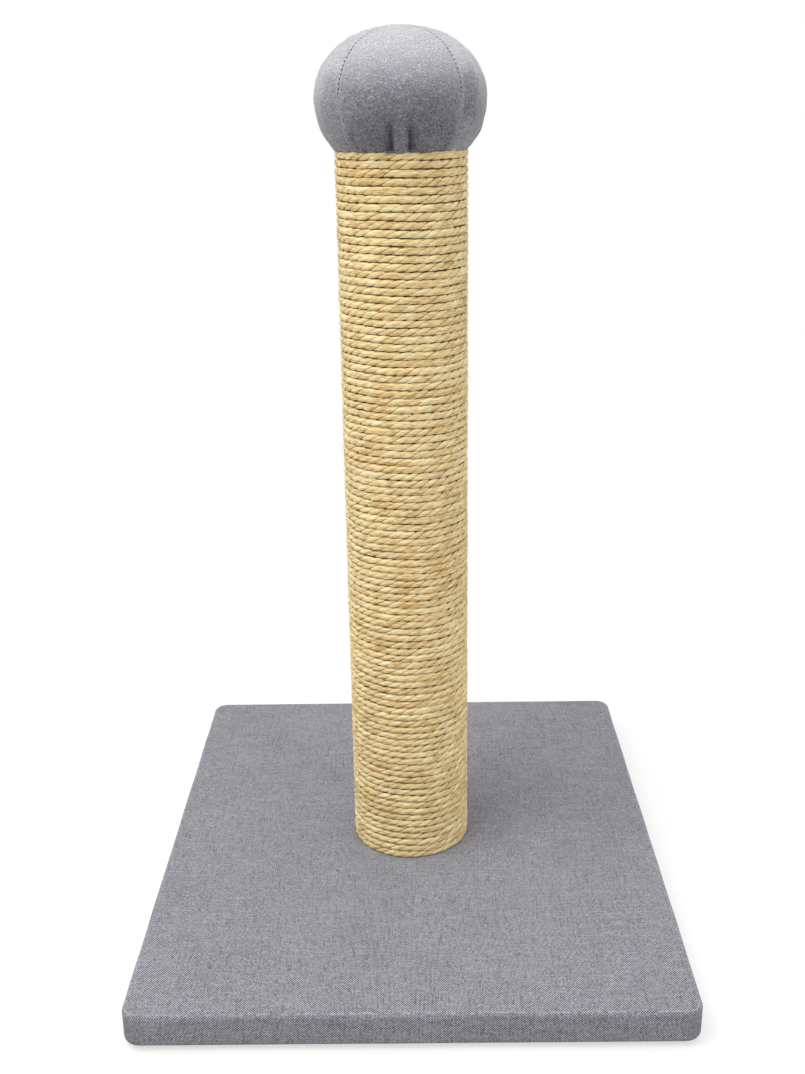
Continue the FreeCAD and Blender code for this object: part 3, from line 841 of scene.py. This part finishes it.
cap = {
    "rise": 34.2, "radius": 59.8, "upper": 47.8, "upperPower": 2.08, "lower": 58.6, "hemInner": 25.5,
    "hemTuck": 1.6, "hemDrop": 1.1, "thickness": 2.0, "rows": 120, "columns": 76,
    "seamSink": 1.0, "seamValley": 0.7, "seamWidth": 1.1, "stitch": 3.2,
    "foldPlace": 5.6, "foldHeight": 29.0, "foldDepth": 4.4,
    "foldWidths": (4.6, 1.3), "foldShadeWidths": (4.2, 1.0),  # out beyond the fold, and in towards the bump; the second pair for the painted shade in the folds
    "sideTuck": 0.3,  # how much of the tuck the side gores have
    "bumpHeight": 1.3, "bumpWidth": 3.4, "bumpDrop": 0.8, "dropWidth": 3.2,  # between the two folds
    # how much less painted shade the bump between the folds gets, and over what width
    "bumpPale": 0.45, "paleWidth": 3.6,
    "paintedShade": {"front": 0.62, "rear": 0.62, "left": 0.32, "right": 0.48},  # painted shade, where the pile lies downwards
    "pucker": 0.45, "lump": 0.1, "fineLump": 0.12, "seed": 31,
}
settling = {
    "rows": 34, "columns": 26, "frames": 20, "size": 0.97,  # the coarse gore that is blown up
    "most": 1.0, "share": 0.8,
    "cloth": {
        "vertex_group_mass": "held", "quality": 6, "mass": 0.1, "tension_stiffness": 12,
        "compression_stiffness": 12, "bending_stiffness": 0.15, "use_pressure": True,
        "uniform_pressure_force": 4, "shrink_min": -0.05,
    },
}
plushLook = {
    "pale": tone(196, 196, 205), "deep": tone(92, 92, 100), "pile": 500, "relief": 0.0008,
}


def capProfile(count):
    # radius and height over the widest level: the hem under the disc, then two half ellipses to the crown
    low = math.asin(cap["rise"] / cap["lower"])
    below = np.linspace(-low, 0, 160)
    above = np.linspace(0, math.pi / 2, 320)[1:]
    power = 2 / cap["upperPower"]
    height = np.concatenate([cap["lower"] * np.sin(below), cap["upper"] * np.sin(above) ** power])
    radius = cap["radius"] * np.concatenate([np.cos(below), np.clip(np.cos(above), 1e-9, 1) ** power])
    radius = radius - cap["hemTuck"] * ease(-height, 23, cap["rise"])
    hem = np.linspace(cap["hemInner"], radius[0], 40)[:-1]
    radius = np.concatenate([hem, radius])
    height = np.concatenate([np.full(len(hem), -cap["rise"]), height])
    gone = np.append(0, np.cumsum(np.hypot(np.diff(radius), np.diff(height))))
    place = np.linspace(0, gone[-1], count)
    return np.interp(place, gone, radius), np.interp(place, gone, height), place


def settleGore(radius, height, angle):
    # a coarse gore pinned along its seams and hem, blown up a little; gives how far each point went outwards
    start = around(angle, radius[:, None], height[:, None])
    rows, columns = start.shape[:2]
    piece = makeMesh("gore_settling", start, gridFaces(rows, columns))
    index = np.arange(rows * columns).reshape(rows, columns)
    pinned = np.unique(np.concatenate([index[:, 0], index[:, -1], index[0], index[-1]]))
    piece.vertex_groups.new(name="held").add(pinned.tolist(), 1.0, "REPLACE")
    cloth = piece.modifiers.new("settle", "CLOTH")
    for key, value in settling["cloth"].items():
        setattr(cloth.settings, key, value)
    cloth.settings.effector_weights.gravity = 0
    scene = bpy.context.scene
    for step in range(1, settling["frames"] + 1):
        scene.frame_set(step)
    settled = piece.evaluated_get(bpy.context.evaluated_depsgraph_get()).data
    points = np.empty(len(settled.vertices) * 3, dtype=np.float32)
    settled.vertices.foreach_get("co", points)
    scene.frame_set(1)
    bpy.data.objects.remove(piece)
    moved = points.reshape(start.shape) / mm - start
    outward = start * np.array([1, 1, 0.6])
    outward = outward / np.linalg.norm(outward, axis=-1, keepdims=True)
    return (moved * outward).sum(-1)


def resample(values, rows, columns):
    # a coarse grid of values read at finer rows and columns, joined by a cosine ease
    for axis, count in ((0, rows), (1, columns)):
        at = np.linspace(0, values.shape[axis] - 1.001, count)
        low = at.astype(int)
        blend = cosineEase(at - low)
        blend = blend[:, None] if axis == 0 else blend[None, :]
        values = np.take(values, low, axis) * (1 - blend) + np.take(values, low + 1, axis) * blend
    return values


def plushFinish():
    # short pile: fine curls, painted shade low down and in soft patches where it lies another way, painted
    # light towards the top, and painted shade in the tuck's folds, along the upper seams and in the stitch
    # holes beside the seams
    plush = Finish("plush", roughness=0.92, specular=0.12, sheen=0.75, sheenRoughness=0.42)
    flat = plush.cloth("cloth")
    y = plush.axes(flat)[1]
    curl = plush.noise(plush.scaled(flat, (1, 1.1, 1)), plushLook["pile"], 1.0, 0.5, 0.8)
    worm = (1 - (curl * 2 - 1).size() * 4.5).capped()
    tuft = plush.noise(flat, 260, 3.0, 0.6)
    brushed = plush.noise(flat, (45, 30, 1), 3.0, 0.55)
    lit = (worm * 0.5 + tuft * 0.2 + (brushed - 0.5) * 0.35 + 0.1).capped()
    color = plush.mix(lit, plushLook["deep"], plushLook["pale"])
    # painted light: lighter towards the top of the cap
    color = plush.mix(plush.value("crown") * 0.55, color, tone(226, 226, 234))
    seam, fold, upper = plush.value("seam"), plush.value("fold"), plush.value("upper")
    stitch = ((y / (cap["stitch"] * mm)).part() - 0.5).size()
    hole = (1 - stitch.between(0.12, 0.24)) * (1 - (seam - 0.4).size().between(0.35, 0.6)) * upper
    line = 1 - seam.between(0.12, 0.5)
    # painted shade where the pile lies downwards: low on the front and rear gores, in patches beside a seam
    # on the sides
    color = plush.mix(plush.value("nap") * (1.15 - worm * 0.5), color, tone(70, 70, 77))
    # painted shade in the stitch holes
    color = plush.mix(hole * 0.9, color, tone(74, 74, 82))
    # painted shade along the seam line in the upper part
    color = plush.mix(line * upper * 0.2, color, tone(96, 96, 102))
    color = plush.mix(line * (1 - upper) * 0.6, color, tone(204, 204, 210))
    # painted shade in the tuck's folds
    color = plush.mix(fold * 0.85, color, tone(34, 34, 38))
    height = worm * 0.8 + tuft * 0.4 - hole * 0.6
    plush.paint(color, height, plushLook["relief"], 0.8)
    return plush


def makeCap():
    # each gore is the profile turned through a quarter, drawn in along its seams and folded at its hem
    chance = np.random.default_rng(cap["seed"])
    rows, columns = cap["rows"], cap["columns"]
    radius, height, gone = [line[:, None] for line in capProfile(rows)]
    share = np.linspace(-1, 1, columns)
    angle = math.pi / 4 * (1.25 * share - 0.25 * share**3)
    plush = plushFinish()
    inner = radius < 45
    for k, name in enumerate(("right", "rear", "left", "front")):
        pushed = 0
        size, most = settling["size"], settling["most"]
        coarseRadius, coarseHeight, _ = capProfile(settling["rows"])
        coarseAngle = np.linspace(-math.pi / 4, math.pi / 4, settling["columns"])
        swell = settleGore(coarseRadius * size, coarseHeight * size, coarseAngle)
        pushed = resample(np.clip(swell - swell.mean(), -most, most), rows, columns)
        pushed = pushed * ease(gone, 24, 40) * settling["share"]
        across = radius * angle
        up = np.clip(height + cap["rise"], 0, None)
        turned = angle + k * math.pi / 2
        spot = around(turned, radius, height)
        toSeam = radius * (math.pi / 4 - np.abs(angle))
        near = np.clip(radius / 18, 0, 1)
        upper = ease(height, -2, 6)
        sink = cap["seamSink"] * near * (1 - 0.7 * ease(height, 14, 40))
        out = -sink * (np.abs(angle) / (math.pi / 4)) ** 3.5
        out = out - cap["seamValley"] * near * np.exp(-(toSeam / cap["seamWidth"]) ** 2)
        free = ease(toSeam, 0.5, 8) * near
        lumps = cap["lump"] * ripple(chance, spot, 34) + cap["fineLump"] * ripple(chance, spot, 11)
        out = out + free * (lumps + pushed)

        # the tuck in the hem's middle: a fold on each side of a small bump, and short puckers beside them
        tuck = 1 if name in ("front", "rear") else cap["sideTuck"]
        side = ease(up, 0.5, 2.5) * (radius > 44)
        fade = side * (1 - ease(up, 7, cap["foldHeight"])) * tuck
        place = cap["foldPlace"] * (1 - 0.05 * up / cap["foldHeight"]) + 0.3 * chance.uniform(-1, 1)
        past = np.abs(across) - place
        folded = np.exp(-(past / np.where(past > 0, *cap["foldWidths"])) ** 2) * fade
        out = out - cap["foldDepth"] * folded * (0.5 + 0.5 * ease(up, 1, 8))
        out = out + cap["bumpHeight"] * np.exp(-(across / cap["bumpWidth"]) ** 2) * fade
        gather = ripple(chance, angle[:, None] * 47, 6.5) * np.exp(-up / 8)
        out = out + cap["pucker"] * gather * side * ease(toSeam, 0.5, 5)

        drop = cap["hemDrop"] * (0.5 + 0.35 * ripple(chance, angle[:, None] * 47 + 300 * k, 14))
        hem = across[np.argmax(radius > 46)]
        drop = drop + cap["bumpDrop"] * tuck * np.exp(-(hem / cap["dropWidth"]) ** 2)
        drop = np.clip(drop, 0, None) * ease(radius, 44.5, 47) * (1 - ease(up, 0.5, 6))
        tilt = np.clip(1 - np.abs(height) / 60, 0.25, 1)
        flat = radius + out * np.where(inner, 0.2, 1) * np.sqrt(tilt)
        level = postTop + cap["rise"] + height * (1 + out / 60 * (height > 0)) - drop
        points = around(turned, np.clip(flat, 0.03, None), level)
        piece = makeMesh(f"plush_gore_{name}", points, gridFaces(rows, columns))
        putUv(piece, "cloth", np.stack([across, np.broadcast_to(gone, across.shape)], -1))
        putValue(piece, "seam", toSeam)
        # painted shade in the folds, weaker higher up
        foldShadeAcross = np.exp(-(past / np.where(past > 0, *cap["foldShadeWidths"])) ** 2)
        putValue(piece, "fold", np.clip(foldShadeAcross * fade * (1 - 0.6 * ease(up, 10, cap["foldHeight"])), 0, 1))
        # painted shade: on the front and rear, darker towards the bottom and less on the bump; on the sides,
        # beside one seam half way up
        if tuck == 1:
            bump = cap["bumpPale"] * np.exp(-(across / cap["paleWidth"]) ** 4) * fade
            paintedShade = cap["paintedShade"][name] * (1 - ease(height, -34, 22)) * (1 - bump)
        else:
            towardsFront = 1 if name == "left" else -1
            fromSeam = radius * (math.pi / 4 - towardsFront * angle)
            halfWay = ease(height, -17, -8) * (1 - ease(height, 10, 24))
            besideSeam = ease(fromSeam, 0.5, 3) * (1 - ease(fromSeam, 11, 24))
            paintedShade = cap["paintedShade"][name] * besideSeam * halfWay
        putValue(piece, "nap", paintedShade)
        # painted light: lighter towards the top, starting lower on the side gores
        paintedTopLight = ease(height, -4, 40) if tuck == 1 else ease(height, -16, 24)
        putValue(piece, "crown", np.broadcast_to(paintedTopLight, across.shape))
        putValue(piece, "upper", np.broadcast_to(upper, across.shape))
        thicken(piece, cap["thickness"])
        dress(piece, plush, [f"cap_gore_{name}"])
    print("plush gores sewn:", rows, "by", columns)


fill = {
    "depth": 3.4, "low": 593.0, "lump": 0.7, "around": 120, "seed": 32,
    "dish": [(0.2, 594.7), (6, 594.7), (11.2, 594.6), (11.4, 593.0), (25, 593.0), (40, 593.0)],
}


def makeStuffing():
    # the cap's profile drawn in, with soft lumps; flat where it lies on the disc, dished round the nut
    chance = np.random.default_rng(fill["seed"])
    fibre = Finish("stuffing", roughness=0.95, specular=0.1, sheen=0.3, sheenRoughness=0.6)
    strands = fibre.noise(fibre.place(), (900, 900, 260), 4.0, 0.7)
    wisps = fibre.noise(fibre.place(), 90, 3.0)
    shade = (strands * 0.6 + wisps * 0.4).between(0.35, 0.7)
    color = fibre.mix(shade, tone(205, 205, 203), tone(246, 246, 244))
    fibre.paint(color, strands, 0.0008, 0.8)
    lowest = math.asin((fill["low"] - postTop - cap["rise"]) / (cap["lower"] - fill["depth"]))
    bend = np.linspace(lowest, math.pi / 2 - 0.02, 60)
    tall = np.where(bend > 0, cap["upper"], cap["lower"]) - fill["depth"]
    radius = (cap["radius"] - fill["depth"]) * np.cos(bend)
    level = postTop + cap["rise"] + tall * np.sin(bend)
    profile = np.array(fill["dish"] + list(zip(radius, level)))
    turn = np.linspace(0, 2 * math.pi, fill["around"], endpoint=False)
    points = around(turn, profile[:, :1], profile[:, 1:])
    loose = (np.arange(len(profile)) > len(fill["dish"]))[:, None]
    lumps = 1 - np.where(loose, fill["lump"] * np.abs(ripple(chance, points, 22)) / 50, 0)
    points[..., :2] *= lumps[..., None]
    piece = makeMesh("fibre_fill", points, *tubeFaces(*points.shape[:2]))
    dress(piece, fibre, ["cap_stuffing"])
    print("stuffing made")


makeCap()
makeStuffing()


# finishes of the rigid parts

def boardFinish():
    # pressed wood chips, each its own shade
    board = Finish("particle_board", roughness=0.8, specular=0.25)
    flat = board.scaled(board.place(), (1, 1, 2.5))
    chips = board.cells(board.scaled(flat, (420, 300, 420)), 1.0, out=1)  # each cell's own colour
    shade = board.axes(chips)[0]
    dust = board.noise(flat, 1400, 3.0)
    stops = [(0.1, tone(150, 118, 78)), (0.5, tone(192, 160, 114)), (0.9, tone(222, 196, 152))]
    color = board.add("ValToRGB", {"stops": stops}, {0: shade * 0.7 + dust * 0.3})
    board.paint(color, dust + shade * 0.5, 0.0003, 0.5)
    return board


def plyFinish():
    # layers stacked upwards, grain along them in turn, darker glue lines between
    ply = Finish("plywood", roughness=0.7, specular=0.3)
    x, y, z = ply.axes(ply.place())
    layer = z / (2.1 * mm)
    along = (layer.floor() * 0.5).part() > 0.25
    grainX = ply.noise(ply.joined(x * 60, y * 900, layer.floor()), 1.0, 3.0)
    grainY = ply.noise(ply.joined(x * 900, y * 60, layer.floor()), 1.0, 3.0)
    grain = grainX * along + grainY * (1 - along)
    glue = 1 - (layer.part() - 0.5).size().between(0.36, 0.5) * 0.5
    color = ply.mix(grain.between(0.3, 0.75), tone(176, 138, 88), tone(226, 198, 150))
    color = ply.mix(1 - glue, color, tone(96, 66, 38))
    ply.paint(color, grain, 0.0002, 0.5)
    return ply


def zincFinish():
    # bright plating with soft cloudy patches and fine drawing lines
    zinc = Finish("zinc", roughness=0.35, metallic=1.0)
    cloud = zinc.noise(zinc.place(), 160, 3.0)
    lines = zinc.noise(zinc.place(), (400, 400, 5000))
    color = zinc.mix(cloud.between(0.3, 0.7), tone(176, 178, 184), tone(214, 214, 210))
    zinc.set(roughness=cloud * 0.25 + 0.22)
    zinc.paint(color, lines, 0.00005, 0.3)
    return zinc


def paperFinish():
    # brown paper wound in a spiral: a thin edge line climbs round the tube
    paper = Finish("wound_paper", roughness=0.85, specular=0.2)
    x, y, z = paper.axes(paper.place())
    turn = paper.add("Math", {"operation": "ARCTAN2"}, {0: y, 1: x}) / (2 * math.pi)
    edge = 1 - ((z / 0.11 + turn).part() - 0.5).size().between(0.488, 0.5)
    fibre = paper.noise(paper.place(), (700, 700, 2200), 4.0, 0.6)
    spot = paper.noise(paper.place(), 45, 3.0)
    shade = (fibre * 0.5 + spot * 0.5).between(0.3, 0.7)
    color = paper.mix(shade, tone(148, 116, 80), tone(190, 158, 116))
    color = paper.mix((1 - edge) * 0.6, color, tone(92, 66, 42))
    paper.paint(color, fibre, 0.0002, 0.5)
    return paper


def dressNodes():
    # the CAD meshes that stay keep their shape and get these finishes
    board, ply, zinc, paper = boardFinish(), plyFinish(), zincFinish(), paperFinish()
    finishes = {"base_board": board, "post_tube": paper}
    finishes |= {name: ply for name in ("lower_plug", "upper_plug", "cap_disc")}
    for name, node in nodeObjects.items():
        if node.hide_render:
            continue
        node.data.materials.clear()
        node.data.materials.append(finishes.get(name, zinc).material)
    print("rigid parts finished")


dressNodes()
